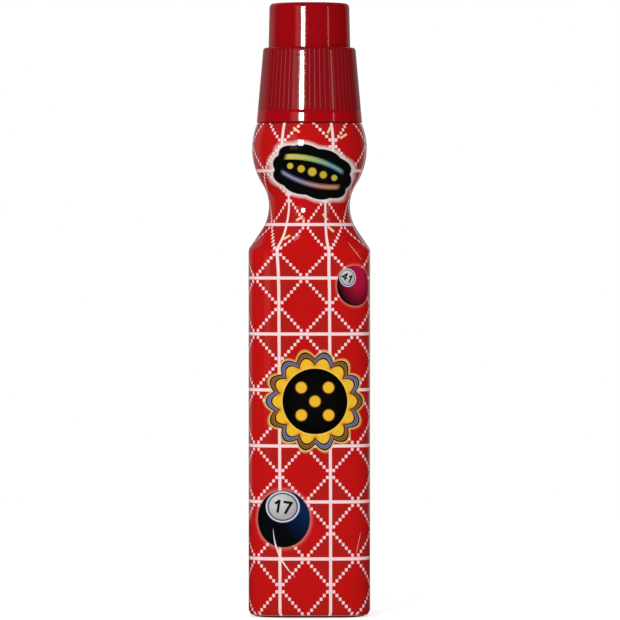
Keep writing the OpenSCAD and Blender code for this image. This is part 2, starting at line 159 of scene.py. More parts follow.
class CapSettings(bpy.types.PropertyGroup):
    """Screw cap."""

    ribs: whole("Ribs", "Ribs round the skirt", 60, 12)
    groove: length("Groove", "Depth of the grooves between the ribs", 0.025)
    band: length("Band", "Diameter of the rim band", 26.2)
    band_top: length("Band top", "Height of the rim band's upper edge", 125.4)
    skirt: length("Skirt", "Diameter of the skirt's upper edge", 23)
    crown: length("Crown", "Diameter of the crown at its foot", 20.3)
    crown_top: length("Crown top", "Diameter of the crown at its top", 19.8)
    bore: length("Bore", "Diameter inside the skirt", 20.4)
    crown_bore: length("Crown bore", "Diameter inside the crown", 17.5)
    step: length("Step", "Height of the step between the skirt and the crown", 141)
    lead: length("Thread lead", "Rise of the thread in one turn", 3.175)
    thread_turns: amount("Thread turns", "Turns of the thread", 1.25, 0.5, 3)
    thread_height: length("Thread height", "Reach of the thread out of its wall", 0.8)
    colour: tint("Colour", "Red of the cap", (0.335, 0.0016, 0.004))


class TipSettings(bpy.types.PropertyGroup):
    """Valve spring, foam and knitted cover."""

    wire: length("Wire", "Diameter of the spring's wire", 0.5)
    coil: length("Coil", "Mean diameter of the spring", 5.5)
    curls: whole("Curls", "Curls of the spring", 6, 3)
    dome_power: amount("Dome power", "Power of the dome's outline", 2.4, 1.5, 4)
    knit: length("Knit", "Width of one stitch of the knitted cover", 0.42)
    gathers: whole("Gathers", "Gathers of the cover above its ring", 36, 8)
    ink: tint("Ink", "Red of the ink", (0.30, 0.004, 0.006))


class StageSettings(bpy.types.PropertyGroup):
    """Camera, lamps and floor."""

    distance: length("Distance", "Distance of the camera from the bottle's middle", 1250)
    height: length("Height", "Height of the camera", 97.6)
    aim: length("Aim", "Height that the camera looks at", 75.9)
    side: length("Side", "Sideways place of the camera", 0.15)
    lens: amount("Lens", "Focal length in millimetres", 292, 20)
    floor: length("Floor", "Radius of the floor", 420)
    key: amount("Key lamp", "Power of the key lamp in watts", 5.0)
    strip: amount("Strip lamp", "Power of the strip lamp in watts", 0.11)
    fill: amount("Fill", "Even light from all round", 0.5)


def maths(operation):
    """A method that adds a Math node to a value's net."""
    return lambda value, *others: value.net.math(operation, value, *others)


class Value:
    """A number on a shader net. Plain maths on it adds Math nodes."""

    def __init__(self, net, socket):
        self.net = net
        self.socket = socket

    def __rsub__(self, other):
        return self.net.math("SUBTRACT", other, self)

    __add__ = __radd__ = maths("ADD")
    __sub__ = maths("SUBTRACT")
    __mul__ = __rmul__ = maths("MULTIPLY")
    __pow__ = maths("POWER")
    __abs__ = maths("ABSOLUTE")


class Net:
    """Shader nodes of a material or of the world."""

    def __init__(self, tree):
        self.tree = tree

    def node(self, kind, settings, sockets, out=0):
        """Add a node, set it up, and give one of its outputs."""
        made = self.tree.nodes.new(kind)
        for key, value in settings.items():
            setattr(made, key, value)
        for key, value in sockets.items():
            if isinstance(value, Value):
                self.tree.links.new(value.socket, made.inputs[key])
            else:
                made.inputs[key].default_value = value
        return Value(self, made.outputs[out])

    def math(self, operation, *values):
        return self.node("ShaderNodeMath", {"operation": operation}, dict(enumerate(values)))

    def ramp(self, value, slope, start):
        """A value times a slope plus a start, kept from 0 to 1."""
        settings = {"operation": "MULTIPLY_ADD", "use_clamp": True}
        return self.node("ShaderNodeMath", settings, {0: value, 1: slope, 2: start})

    def under(self, value, edge, soft):
        """1 where a value is below an edge, with a soft border."""
        return self.ramp(value, -1 / soft, edge / soft + 0.5)

    def over(self, value, edge, soft):
        """1 where a value is above an edge, with a soft border."""
        return self.ramp(value, 1 / soft, 0.5 - edge / soft)

    def larger(self, first, second):
        return self.math("MAXIMUM", first, second)

    def paint(self, mask, below, above):
        """Lay one colour over another where a mask is 1."""
        sockets = {0: mask, 6: colour(below), 7: colour(above)}
        return self.node("ShaderNodeMix", {"data_type": "RGBA"}, sockets, 2)

    def stamp(self, base, value, edge, soft, above):
        """Lay a colour over another where a value is below an edge."""
        return self.paint(self.under(value, edge, soft), base, above)

    def place(self):
        """Object coordinates."""
        return self.node("ShaderNodeTexCoord", {}, {}, "Object")

    def millimetres(self):
        """The three object coordinates in millimetres."""
        return self.split(self.stretch(self.place(), 1 / MM, 1 / MM, 1 / MM))

    def own_map(self):
        """The two numbers of the piece's own map."""
        return self.split(self.node("ShaderNodeUVMap", {"uv_map": "UVMap"}, {}))[:2]

    def ray(self, kind):
        """1 on rays of a kind."""
        return self.node("ShaderNodeLightPath", {}, {}, f"Is {kind} Ray")

    def far(self, vector, start=(0.0, 0.0)):
        """Distance of a vector from a point."""
        sockets = {0: vector, 1: (*start, 0.0)}
        return self.node("ShaderNodeVectorMath", {"operation": "DISTANCE"}, sockets, "Value")

    def split(self, vector):
        """The three numbers of a vector."""
        return [self.node("ShaderNodeSeparateXYZ", {}, {0: vector}, axis) for axis in "XYZ"]

    def join(self, x, y, z=0.0):
        return self.node("ShaderNodeCombineXYZ", {}, {"X": x, "Y": y, "Z": z})

    def stretch(self, vector, x, y, z):
        """A vector with each of its numbers scaled."""
        return self.node("ShaderNodeVectorMath", {"operation": "MULTIPLY"}, {0: vector, 1: (x, y, z)})

    def speckle(self, scale, detail=2.0, roughness=0.5, up=1.0):
        """Noise from 0 to 1 in object coordinates, whose heights can be scaled."""
        vector = self.stretch(self.place(), 1.0, 1.0, up)
        sockets = {"Vector": vector, "Scale": scale, "Detail": detail, "Roughness": roughness}
        return self.node("ShaderNodeTexNoise", {}, sockets, "Fac")

    def cells(self, scale, feature="F1"):
        """Distance to the middles or edges of random cells."""
        sockets = {"Vector": self.place(), "Scale": scale}
        return self.node("ShaderNodeTexVoronoi", {"feature": feature}, sockets, "Distance")

    def local(self, vector, centre, half, turn=0.0):
        """A vector measured from a figure's centre in its half sizes."""
        sockets = {
            "Vector": vector,
            "Location": (*centre, 0.0),
            "Rotation": (0.0, 0.0, math.radians(turn)),
            "Scale": (*half, 1.0),
        }
        return self.node("ShaderNodeMapping", {"vector_type": "TEXTURE"}, sockets)

    def round(self, vector, centre, half, turn=0.0):
        """Distance from an ellipse's centre, 1 on its edge."""
        return self.far(self.local(vector, centre, half, turn))

    def bar(self, vector, centre, half, turn=0.0):
        """Distance from a bar's middle lines, 1 on its edge."""
        x, y, _ = self.split(self.local(vector, centre, half, turn))
        return self.larger(abs(x), abs(y))


def colour(value):
    """A colour socket's value, or the link that gives it."""
    return value if isinstance(value, Value) else (*value, 1.0)


class Finish(Net):
    """A material whose Principled shader is fed by a net."""

    def __init__(self, name, **sockets):
        self.material = bpy.data.materials.new(name)
        self.material.use_nodes = True
        super().__init__(self.material.node_tree)
        self.shader = self.tree.nodes["Principled BSDF"]
        self.feed(**sockets)

    def feed(self, **sockets):
        """Set or link the shader's sockets, by names with underscores."""
        for key, value in sockets.items():
            socket = self.shader.inputs[key.replace("_", " ").title().replace("Ior", "IOR")]
            if isinstance(value, Value):
                self.tree.links.new(value.socket, socket)
            else:
                socket.default_value = value

    def done(self, base, rough, height, depth, strength):
        """Set the colour and roughness, and raise the surface by a height, at a depth in millimetres."""
        sockets = {"Height": height, "Distance": depth * MM, "Strength": strength}
        self.feed(base_color=base, roughness=rough, normal=self.node("ShaderNodeBump", {}, sockets))
        return self


def deselect():
    """Leave edit mode with nothing selected."""
    if bpy.context.mode != "OBJECT":
        bpy.ops.object.mode_set(mode="OBJECT")
    bpy.ops.object.select_all(action="DESELECT")


def select(piece):
    """Make a piece the active one and the only one selected."""
    deselect()
    piece.select_set(True)
    bpy.context.view_layer.objects.active = piece


def edit(piece):
    """Enter edit mode on a piece with all of it selected."""
    select(piece)
    bpy.ops.object.mode_set(mode="EDIT")
    bpy.ops.mesh.select_all(action="SELECT")


def close_up(reach):
    """In edit mode, merge points within a reach in millimetres and face outward, then leave edit mode."""
    bpy.ops.mesh.select_all(action="SELECT")
    bpy.ops.mesh.remove_doubles(threshold=reach * MM)
    bpy.ops.mesh.normals_make_consistent(inside=False)
    bpy.ops.object.mode_set(mode="OBJECT")


def draw(name, points):
    """Start a piece as a line in the XZ plane, drawn point by point."""
    deselect()
    bpy.ops.mesh.primitive_plane_add(size=MM, location=(0, 0, 0))
    piece = bpy.context.object
    piece.name = name
    bpy.ops.object.mode_set(mode="EDIT")
    bpy.ops.mesh.merge(type="CENTER")
    x, z = points[0]
    bpy.ops.transform.translate(value=(x, 0, z))
    for next_x, next_z in points[1:]:
        bpy.ops.mesh.extrude_vertices_move(TRANSFORM_OT_translate={"value": (next_x - x, 0, next_z - z)})
        x, z = next_x, next_z
    return piece


def spin(steps):
    """Turn the line in edit mode into a round skin, closed at its seam and poles."""
    bpy.ops.mesh.select_all(action="SELECT")
    bpy.ops.mesh.spin(steps=steps, angle=2 * math.pi, center=(0, 0, 0), axis=(0, 0, 1))
    close_up(0.002)


def modify(piece, kind, **settings):
    """Add a modifier and apply it."""
    select(piece)
    made = piece.modifiers.new(kind.title(), kind)
    for key, value in settings.items():
        setattr(made, key, value)
    bpy.ops.object.modifier_apply(modifier=made.name)


def finish_piece(piece, body, finish, angle, stands_for=()):
    """Shade a piece, give it its finish, and set it on its body."""
    select(piece)
    bpy.ops.object.shade_smooth_by_angle(angle=math.radians(angle))
    piece.data.materials.clear()
    piece.data.materials.append(finish.material)
    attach(piece, body)
    if stands_for:
        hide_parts(*stands_for)


def coat_node(name, finish):
    """Give a CAD piece its finish."""
    node = frame["nodes"][name]
    if not node.material_slots:
        node.data.materials.append(finish.material)
    for held in node.material_slots:
        held.material = finish.material


def arc(x, z, radius, start, end, steps):
    """Points of an arc in the XZ plane, by angles in degrees."""
    turns = [math.radians(start + (end - start) * i / steps) for i in range(steps + 1)]
    return [(x + radius * math.cos(t), z + radius * math.sin(t)) for t in turns]


def blend(value, table):
    """Read a table of (value, result) pairs along straight lines."""
    for (a, low), (b, high) in zip(table, table[1:]):
        if value <= b:
            return low + (high - low) * (value - a) / (b - a)
    return table[-1][1]


def bottle_side(form):
    """Half widths and heights of the bottle, from the foot's edge to the film's upper edge."""
    half, waist = form.width / 2, form.waist / 2
    slope = math.degrees(form.shoulder_angle)
    swell = (form.bulge - form.waist) / 2
    wave = (form.bulge_rise**2 + swell**2) / (2 * swell)
    upper_hollow = wave - form.bulge_radius
    rise = math.degrees(math.asin(form.bulge_rise / wave))
    bulge_z = form.waist_height + form.bulge_rise
    flank_r = waist + form.hollow_radius * (1 - math.cos(form.shoulder_angle))
    flank_z = form.waist_height - form.hollow_radius * math.sin(form.shoulder_angle)
    corner_z = flank_z - (half - flank_r) / math.tan(form.shoulder_angle)
    corner_z -= form.shoulder_radius * math.tan(form.shoulder_angle / 2)
    top = math.degrees(math.asin(form.film_rise / form.bulge_top_radius))
    return (
        arc(half - form.foot_radius, form.foot_radius, form.foot_radius, -45, 0, 6)
        + arc(half - form.shoulder_radius, corner_z, form.shoulder_radius, 0, slope, 8)
        + arc(waist + form.hollow_radius, form.waist_height, form.hollow_radius, 180 + slope, 180, 12)
        + arc(waist + upper_hollow, form.waist_height, upper_hollow, 180, 180 - rise, 12)[1:]
        + arc(form.bulge / 2 - form.bulge_radius, bulge_z, form.bulge_radius, -rise, 0, 12)[1:]
        + arc(form.bulge / 2 - form.bulge_top_radius, bulge_z, form.bulge_top_radius, 0, top, 8)[1:]
    )


def walk(points, count):
    """Points at even steps along a line."""
    run = [0.0]
    for a, b in zip(points, points[1:]):
        run.append(run[-1] + math.dist(a, b))
    spread = []
    k = 0
    for i in range(count + 1):
        want = run[-1] * i / count
        while k < len(run) - 2 and run[k + 1] < want:
            k += 1
        t = (want - run[k]) / max(run[k + 1] - run[k], 1e-12)
        spread.append(tuple(p + (q - p) * t for p, q in zip(points[k], points[k + 1])))
    return spread


def section(form, half, z):
    """Half width, half depth and power of the bottle's outline at a height."""
    if z < form.foot_radius:
        deep = half - (form.width - form.depth) / 2
    elif z < form.waist_height:
        deep = min(half, form.depth / 2)
    else:
        deep = half
    flat = max(0.0, (half - deep) / ((form.width - form.depth) / 2))
    return half, deep, 2 + (form.squareness - 2) * flat**form.panel_power


def outline(half, deep, power, count):
    """Points at even steps round an outline, from the back over -X to the back again."""
    points = []
    for i in range(721):
        t = math.radians(90 + i / 2)
        c, s = math.cos(t), math.sin(t)
        x = math.copysign(abs(c) ** (2 / power), c) * half
        points.append((x, math.copysign(abs(s) ** (2 / power), s) * deep))
    return walk(points, count)


DIGITS = {
    "1": (((0.05, 0.0), 1.0, 90), ((-0.10, 0.34), 0.36, 42)),
    "4": (((0.12, 0.0), 1.0, 90), ((-0.03, -0.18), 0.72, 0), ((-0.11, 0.16), 0.84, 57)),
    "7": (((0.0, 0.45), 0.66, 0), ((0.09, -0.02), 1.02, 69)),
}


def number(net, sheet, text, centre, tall, stroke, turn):
    """Mask of a plain number drawn with straight strokes."""
    mask = 0.0
    lean = math.radians(turn)
    for place, digit in enumerate(text):
        start = (place - (len(text) - 1) / 2) * 0.82 * tall
        for (x, y), reach, angle in DIGITS[digit]:
            x, y = start + x * tall, y * tall
            at = (
                centre[0] + x * math.cos(lean) - y * math.sin(lean),
                centre[1] + x * math.sin(lean) + y * math.cos(lean),
            )
            half = (reach * tall / 2 + stroke / 3, stroke / 2)
            mark = net.under(net.bar(sheet, at, half, angle + turn), 1.0, 0.25)
            mask = net.larger(mark, mask)
    return mask


def print_ball(net, base, sheet, centre, half, shade, glow, face, text, turn):
    """Lay a numbered ball with a pale halo on the print, its colour glowing at one place."""
    edge = net.round(sheet, centre, half)
    halo = net.under(edge, 1.06, 0.24)
    base = net.paint(halo * halo * 0.9, base, (1.0, 0.36, 0.30))
    glow_at = (centre[0] + half[0] * glow[0], centre[1] + half[1] * glow[1])
    lit = net.round(sheet, glow_at, (half[0], half[1] * 1.2))
    body = net.stamp((0.0016, 0.0022, 0.0034), lit, glow[2], 0.9, shade)
    base = net.stamp(base, edge, 1.0, 0.035, body)
    (face_x, face_y), (wide, tall) = face
    disc = net.round(sheet, *face)
    base = net.stamp(base, disc, 1.0, 0.06, (0.66, 0.72, 0.86))
    base = net.stamp(base, disc, 0.905, 0.06, (0.004, 0.010, 0.026))
    shine = net.round(sheet, (face_x - wide * 0.2, face_y + tall * 0.3), (wide, tall))
    inner = net.stamp((0.42, 0.41, 0.42), shine, 0.55, 0.9, (0.70, 0.69, 0.68))
    base = net.stamp(base, disc, 0.825, 0.06, inner)
    mark = number(net, sheet, text, (face_x, face_y), tall * 0.74, tall * 0.17, turn)
    return net.paint(mark, base, (0.006, 0.007, 0.008))


def print_badge(net, base, sheet, centre, radius, gold):
    """Lay a black disc in a scalloped gold ring on the print, with five dots."""
    at = net.local(sheet, centre, (radius, radius * 1.02))
    x, y, _ = net.split(at)
    far = net.far(at)
    wave = net.math("COSINE", net.math("ARCTAN2", y, x) * 7.0)
    petal = abs(wave)
    rim = far - petal * 0.22
    base = net.stamp(base, rim, 1.36, 0.10, (0.85, 0.62, 0.16))
    base = net.stamp(base, rim, 1.31, 0.03, (0.003, 0.002, 0.003))
    leaf = net.paint(net.over(wave, 0.0, 0.1), (0.27, 0.25, 0.50), (0.40, 0.17, 0.05))
    leaf = net.stamp(leaf, abs(rim - 1.20), 0.015, 0.03, (0.006, 0.004, 0.006))
    base = net.stamp(base, rim, 1.25, 0.03, leaf)
    base = net.stamp(base, rim, 1.145, 0.03, (0.004, 0.003, 0.004))
    inner = net.stamp(gold, petal, 0.45, 0.7, (0.80, 0.30, 0.02))
    base = net.stamp(base, rim, 1.09, 0.03, inner)
    base = net.stamp(base, far, 1.04, 0.02, (0.93, 0.62, 0.08))
    black = net.paint(net.over(far, 0.25, 1.4), (0.005, 0.006, 0.005), (0.0015, 0.0015, 0.0015))
    base = net.stamp(base, far, 1.0, 0.02, black)
    for step_x, step_y in ((0, 0), (-1, -1), (1, -1), (-1, 1), (1, 1)):
        dot = net.round(at, (step_x * 0.42, step_y * 0.42), (0.19, 0.19))
        base = net.stamp(base, dot, 1.0, 0.10, (0.30, 0.09, 0.01))
        base = net.stamp(base, dot, 0.86, 0.12, gold)
    return base


def print_plaque(net, base, sheet, front, centre, half, turn):
    """Lay a leaning black cloud with a pale edge, two ribbons and a row of gold beads on the print."""
    at = net.local(sheet, centre, half, turn)
    x, y, _ = net.split(at)
    far = (abs(x) ** 2.6 + abs(y) ** 2.6) ** (1 / 2.6)
    edge = far - abs(net.math("COSINE", net.math("ARCTAN2", y, x) * 5.0)) * 0.07
    base = net.paint(net.under(edge, 1.06, 0.17) * front * 0.95, base, (0.93, 0.80, 0.78))
    base = net.paint(net.under(edge, 0.96, 0.03) * front, base, (0.0022, 0.0026, 0.0022))
    # two swept ribbons that run through the colours from one end to the other
    blue = net.paint(net.over(x, 0.15, 0.5), (0.22, 0.40, 0.05), (0.02, 0.16, 0.22))
    upper = net.paint(net.over(x, -0.35, 0.5), (0.60, 0.50, 0.05), blue)
    lower = net.paint(net.over(x, 0.1, 0.9), (0.05, 0.06, 0.20), (0.42, 0.10, 0.02))
    for lift, sweep, hue in ((0.50, 0.34, upper), (-0.50, -0.34, lower)):
        line = abs(y - lift + x * x * sweep)
        glint = net.stamp(hue, line, 0.02, 0.10, (0.55, 0.55, 0.42))
        base = net.paint(net.under(line, 0.11, 0.03) * net.under(abs(x), 0.74, 0.1) * front, base, glint)
    # beads from the middle out
    beads = ((0.64, 0.47, 0.05), (0.62, 0.44, 0.04), (0.60, 0.50, 0.05))
    for place in range(-2, 3):
        wide = 0.125 - 0.018 * abs(place)
        dot = net.round(at, (place * 0.29, 0.0), (wide, wide * half[0] / half[1]))
        base = net.paint(net.under(dot, 1.0, 0.12) * front, base, (0.10, 0.06, 0.01))
        base = net.paint(net.under(dot, 0.82, 0.14) * front, base, beads[abs(place)])
    return base


def film_print(look):
    """Glossy film with a windowpane of white lines, dotted diamonds, a few generic figures and a painted
    highlight along a crease.
    """
    net = Finish("film_print", ior=1.5, specular_ior_level=0.0, coat_roughness=0.06, coat_ior=1.5)
    u, v = net.own_map()
    x, y, z = net.millimetres()
    half = look.steps / 2
    pane_x = abs(net.math("FRACT", u * look.columns) - 0.5) * look.steps
    pane_y = abs(net.math("FRACT", v * look.rows + 0.012) - 0.5) * look.steps
    step_x = net.math("ROUND", pane_x)
    step_y = net.math("ROUND", pane_y)
    dot = net.larger(abs(pane_x - step_x), abs(pane_y - step_y))
    on_diamond = net.under(abs(step_x + step_y - half), 0.5, 0.1)
    dots = net.under(dot, 0.42, 0.16) * on_diamond
    lines = net.larger(net.over(pane_x, half - 0.47, 0.16), net.over(pane_y, half - 0.44, 0.16))
    mottle = net.speckle(900.0, 3.0)
    red = net.paint(net.under(pane_x + pane_y, half, 0.3), look.corner, look.pane)
    red = net.paint(mottle * 0.35, red, (0.36, 0.006, 0.008))
    base = net.paint(net.larger(lines, dots), red, look.line)

    sheet = net.join((u - 0.5) * PRINT_LENGTH, z)
    face = net.join(x, z)
    front = net.under(y, 0.0, 0.5)
    flecks = (((-5.6, 94.0), 30), ((5.3, 96.0), -40), ((-2.4, 98.7), 35), ((3.9, 99.0), -55))
    flecks += (((8.4, 118.9), 35), ((-3.2, 120.4), -40), ((4.9, 120.5), 65))
    for at, turn in flecks:
        fleck = net.under(net.bar(face, at, (0.95, 0.26), turn), 1.0, 0.3)
        base = net.paint(fleck * front, base, (0.92, 0.68, 0.34))
    base = print_plaque(net, base, face, net.under(y, -5.0, 2.0), (0.7, 110.1), (9.7, 6.1), -15)
    base = print_badge(net, base, sheet, (2.5, 53.55), 7.95, look.gold)
    base = print_ball(
        net, base, sheet, (-5.36, 24.5), (6.55, 7.04), look.ball,
        glow=(0.85, 0.3, 0.5), face=((-5.52, 27.5), (4.15, 3.84)), text="17", turn=-9,
    )
    base = print_ball(
        net, base, sheet, (12.6, 82.05), (4.6, 4.98), look.small_ball,
        glow=(0.3, 0.4, 0.85), face=((10.75, 84.05), (2.05, 2.25)), text="41", turn=-26,
    )

    # plain strip of the lap seam down the back
    lap = net.over(y, 4.0, 0.5)
    base = net.paint(net.under(abs(x), SEAM, 0.04) * lap, base, look.pane)
    base = net.paint(net.under(abs(x - SEAM), 0.07, 0.05) * lap * 0.7, base, (0.12, 0.004, 0.004))

    # painted highlight: a white line along an arc stands for the glare on a crease in the film, which is
    # also raised a little, and a few pale scratches are partly real scratches and partly painted glints
    middle, reach = (7.9993, 22.5739), 16.9327
    taper = net.over(z, 11.6, 2.6) * net.under(z, 20.2, 4.2)
    off_line = abs(net.far(face, middle) - reach) + 0.16 * (1 - taper)
    crease_glare = net.under(off_line, 0.17, 0.12) * net.under(x, -3.4, 0.5) * front * net.under(z, 22.0, 0.6)
    scratch_glint = 0.0
    for at, long, turn in (((12.1, 18.4), 2.3, 78), ((11.2, 90.6), 2.2, -52), ((6.6, 118.0), 1.3, 35)):
        scratch_glint = net.larger(net.under(net.bar(face, at, (long, 0.05), turn), 1.0, 0.6), scratch_glint)
    base = net.paint(net.larger(crease_glare, scratch_glint * front * 0.6), base, (0.95, 0.88, 0.88))

    ripple = net.speckle(160.0, 2.0, up=0.35)
    grain = net.speckle(5200.0, 1.0)
    # the gloss coat is thin where the film was drawn over the shoulder
    drawn = net.over(z, 89.3, 1.4) * net.under(z, 97.2, 1.4) * net.under(abs(x), 11.5, 2.0)
    worn = net.speckle(330.0, 3.0)
    net.feed(coat_weight=0.98 - drawn * 0.9 - worn * 0.06)
    return net.done(base, worn * 0.3 + 0.2, ripple * 0.6 + grain * 0.01 + crease_glare * 0.5, 0.05, 0.4)


def gloss_red(look):
    """Glossy moulded cap plastic with faint flow marks and rubbed patches, painted shade on the ribbed
    skirt, and painted highlights on the rim band and along the grooves.
    """
    net = Finish("cap_gloss_red", ior=1.5, specular_ior_level=0.5)
    flow = net.speckle(520.0, 4.0, up=0.22)
    cloud = net.speckle(140.0, 2.0)
    base = net.paint(net.over(flow, 0.60, 0.5) * 0.4, look.colour, (0.38, 0.004, 0.008))
    base = net.paint(net.over(cloud, 0.62, 0.4) * 0.35, base, (0.24, 0.002, 0.004))
    # painted shade darkens the ribbed skirt, and painted light brightens the thin rim band
    x, y, z = net.millimetres()
    band_top, step = look.band_top / MM, look.step / MM
    skirt = net.over(z, band_top, 0.2) * net.under(z, step, 0.3)
    base = net.paint(skirt * 0.6, base, (0.22, 0.005, 0.009))
    base = net.paint(net.under(z, band_top, 0.2) * 0.8, base, (0.40, 0.002, 0.006))
    # painted highlights: pale lines along the grooves between the ribs stand for light caught on their
    # edges, and the grooves are also dull
    rib = net.math("COSINE", net.math("ARCTAN2", y, x) * look.ribs)
    ribbed = net.over(z, band_top + 0.1, 0.2) * net.under(z, step - 0.6, 0.3)
    base = net.paint(net.over(rib, 0.55, 0.8) * ribbed * 0.25, base, (0.36, 0.014, 0.022))
    rub = net.speckle(1900.0, 2.0, up=0.05)
    dull = net.over(rib, 0.90, 0.05) * ribbed * 0.40
    rough = net.over(rub, 0.55, 0.4) * 0.04 + cloud * 0.05 + 0.045 + dull
    return net.done(base, rough, cloud + rub * 0.03, 0.03, 0.4)


def satin_red(form):
    """Blow-moulded bottle plastic with fine draw lines, and painted shade along the foot's lower edge."""
    net = Finish("bottle_red", ior=1.5)
    draw_lines = net.speckle(900.0, 3.0, up=0.04)
    cloud = net.speckle(120.0, 3.0)
    base = net.paint(cloud * 0.6, form.colour, (0.28, 0.006, 0.008))
    _, _, z = net.millimetres()
    # painted shade: the lowest edge of the foot, which faces the floor, is darkened almost to black to stand
    # for its shadow
    base = net.paint(net.under(z + cloud * 0.3, 0.75, 0.3) * 0.93, base, (0.030, 0.008, 0.006))
    return net.done(base, draw_lines * 0.2 + 0.28, draw_lines + cloud, 0.05, 0.4)


def natural_plastic(name, plain, low, high):
    """Pale moulded plastic, stained by ink below and above two heights in millimetres."""
    net = Finish(name, ior=1.5)
    _, _, z = net.millimetres()
    cloud = net.speckle(420.0, 4.0, 0.6)
    patch = net.speckle(800.0, 3.0)
    height = z + patch * 3.0 - 1.5
    wet = net.larger(net.under(height, low, 1.4), net.over(height, high, 1.4))
    base = net.paint(cloud * 0.30, plain, [c * 0.82 for c in plain])
    base = net.paint(net.larger(wet * 0.85, net.over(patch, 0.68, 0.05) * 0.55), base, STAIN)
    return net.done(base, 0.46 - wet * 0.24 + cloud * 0.1, cloud + patch * 0.3, 0.04, 0.5)


def drawn_wire():
    """Stainless spring wire with fine die lines along it."""
    net = Finish("spring_wire", metallic=1.0)
    lines = net.speckle(2600.0, 3.0, up=6.0)
    stain = net.speckle(700.0, 2.0)
    base = net.paint(lines, (0.62, 0.63, 0.64), (0.40, 0.40, 0.41))
    base = net.paint(net.over(stain, 0.62, 0.1) * 0.7, base, (0.34, 0.05, 0.05))
    return net.done(base, lines * 0.25 + 0.18, lines, 0.01, 0.5)


def seal_rubber():
    """Soft black rubber with a dusty bloom."""
    net = Finish("seal_rubber")
    bloom = net.speckle(1300.0, 4.0, 0.65)
    base = net.paint(bloom, (0.022, 0.021, 0.022), (0.060, 0.054, 0.055))
    return net.done(base, bloom * 0.25 + 0.55, bloom, 0.04, 0.6)


def foamed_liner():
    """White foamed liner with small closed cells and an inked inner edge."""
    net = Finish("liner_foam")
    x, y, _ = net.millimetres()
    far = (x * x + y * y) ** 0.5
    pits = net.cells(3600.0)
    smear = net.speckle(600.0, 3.0)
    base = net.paint(net.under(pits, 0.35, 0.3), (0.84, 0.84, 0.82), (0.66, 0.66, 0.64))
    base = net.paint(net.under(far + smear * 1.2, 9.3, 0.5) * 0.8, base, (0.50, 0.03, 0.03))
    return net.done(base, 0.6, pits, 0.05, 0.7)


def wet_ink(look):
    """Deep red ink with a skin of light and dark swirls."""
    net = Finish("ink_red", ior=1.34, coat_roughness=0.04)
    swirl = net.speckle(90.0, 5.0, 0.6)
    base = net.paint(swirl, look.ink, [c * 0.45 for c in look.ink])
    net.feed(coat_weight=swirl * 0.3 + 0.4)
    return net.done(base, swirl * 0.08 + 0.03, swirl, 0.1, 0.2)


def inked_foam(look):
    """Open-cell foam soaked with ink."""
    net = Finish("tip_foam")
    pores = net.cells(1900.0)
    walls = net.cells(900.0, "DISTANCE_TO_EDGE")
    soak = net.speckle(260.0, 3.0)
    base = net.paint(net.over(pores, 0.30, 0.35), [c * 0.5 for c in look.ink], (0.60, 0.10, 0.10))
    base = net.paint(soak * 0.6, base, look.ink)
    return net.done(base, 0.75 - soak * 0.3, pores + net.under(walls, 0.06, 0.05) * 0.4, 0.25, 0.8)


def inked_knit(look):
    """Fine weft knit, wet with ink, that reads the cover's own map."""
    net = Finish("knit_wet", sheen_weight=0.03)
    u, v = net.own_map()
    wales = net.math("FRACT", u) - 0.5
    lean = abs(wales) * 0.9
    course = net.math("FRACT", v + lean) - 0.5
    loop = net.under(abs(abs(wales) - 0.24) * 2.2 + abs(course) * 0.55, 0.36, 0.4)
    soak = net.speckle(330.0, 3.0)
    fuzz = net.speckle(6000.0, 2.0)
    thread = net.paint(soak, (0.72, 0.06, 0.07), (0.44, 0.008, 0.012))
    base = net.paint(loop, [c * 0.6 for c in look.ink], thread)
    base = net.paint(fuzz * 0.12, base, (0.80, 0.18, 0.18))
    return net.done(base, 0.66 - soak * 0.3, loop + fuzz * 0.15, 0.09, 0.9)


class DAUBER_OT_bottle(bpy.types.Operator):
    """Finish the bottle and wind the thread on its neck"""

    bl_idname = "dauber.bottle"
    bl_label = "Bottle"

    def execute(self, context):
        form, cap = context.scene.dauber_bottle, context.scene.dauber_cap
        red = satin_red(form)
        coat_node("bottle", red)
        thread = wind_thread("neck_thread", form.neck / 2, cap.thread_height, NECK_THREAD * MM, cap, 0.0)
        finish_piece(thread, "bottle_body", red, 40)
        return {"FINISHED"}


def wind(piece, turns, lead, steps):
    """Wind a closed line into a coil, with a number of steps in each turn."""
    total = int(steps * turns)
    modify(
        piece, "SCREW", axis="Z", angle=2 * math.pi * turns, screw_offset=lead * turns,
        steps=total, render_steps=total, use_smooth_shade=False,
    )


def wind_thread(name, wall, reach, start, cap, turn):
    """Wind a round-topped thread on a wall, out from it or, with a negative reach, in."""
    foot, top = 1.3 * MM, 0.6 * MM
    side = math.copysign(1, reach)
    root = wall - side * 0.12 * MM
    tip = wall + reach
    edge = tip - side * 0.1 * MM
    line = [(root, -foot / 2), (edge, -top / 2), (tip, 0.0), (edge, top / 2), (root, foot / 2)]
    thread = draw(name, [(x, start + z) for x, z in [*line, line[0]]])
    close_up(0.001)
    wind(thread, cap.thread_turns, cap.lead, 72)
    # the ends run out into the wall
    for point in thread.data.vertices:
        at = point.co
        bend = math.atan2(at.y, at.x) % (2 * math.pi)
        lifts = [(at.z - start - cap.lead * (bend / (2 * math.pi) + k), k) for k in range(3)]
        along = min(lifts, key=lambda lift: abs(lift[0]))[1] + bend / (2 * math.pi)
        fade = min(1.0, max(0.0, min(along, cap.thread_turns - along) / 0.12))
        far = math.hypot(at.x, at.y)
        keep = (root + (far - root) * fade) / far
        at.x, at.y = at.x * keep, at.y * keep
    edit(thread)
    bpy.ops.transform.rotate(value=-math.radians(turn), orient_axis="Z", center_override=(0, 0, 0))
    bpy.ops.mesh.fill_holes(sides=0)
    close_up(0.001)
    return thread


